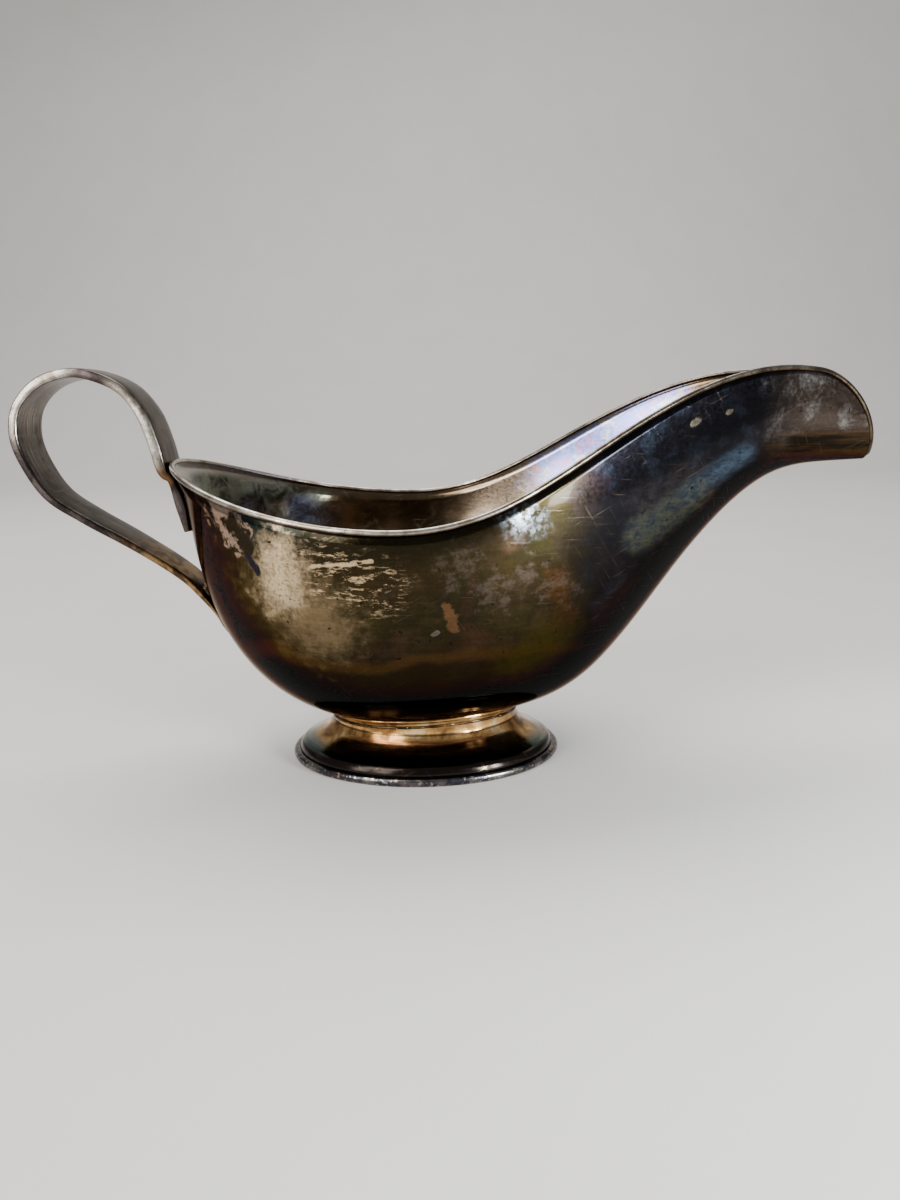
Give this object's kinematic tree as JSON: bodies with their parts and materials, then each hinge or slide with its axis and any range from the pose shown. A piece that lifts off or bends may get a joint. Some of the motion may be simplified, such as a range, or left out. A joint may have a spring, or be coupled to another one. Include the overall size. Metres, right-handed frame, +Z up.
{
  "type": "gravy boat",
  "caption": "Footed oval gravy boat with a long raised pouring spout, a wired rim and a bent strap loop handle, for serving sauce at the table.",
  "frame": {"origin": "middle of the overall length and width, at the height of the table the foot stands on", "axes": "+X towards the pouring spout along the length, +Y across the width, +Z up"},
  "size_m": [0.2308, 0.0986, 0.1102],
  "materials": {
    "tarnished_silver": "silver plate, patinated and mirror smooth under the tarnish",
    "bright_wire": "silver plate worn bright",
    "strap_silver": "silver plate, finely brushed",
    "gilt_tarnish": "silver plate tarnished gold to black",
    "solder": "dull solder stained brown"
  },
  "bodies": {
    "root": {"bowl": "tarnished_silver", "rim_wire": "bright_wire", "foot": "gilt_tarnish", "foot_edge": "gilt_tarnish", "foot_solder_seam": "solder", "handle": "strap_silver", "handle_upper_solder": "solder", "handle_lower_solder": "solder"}
  },
  "joints": []
}
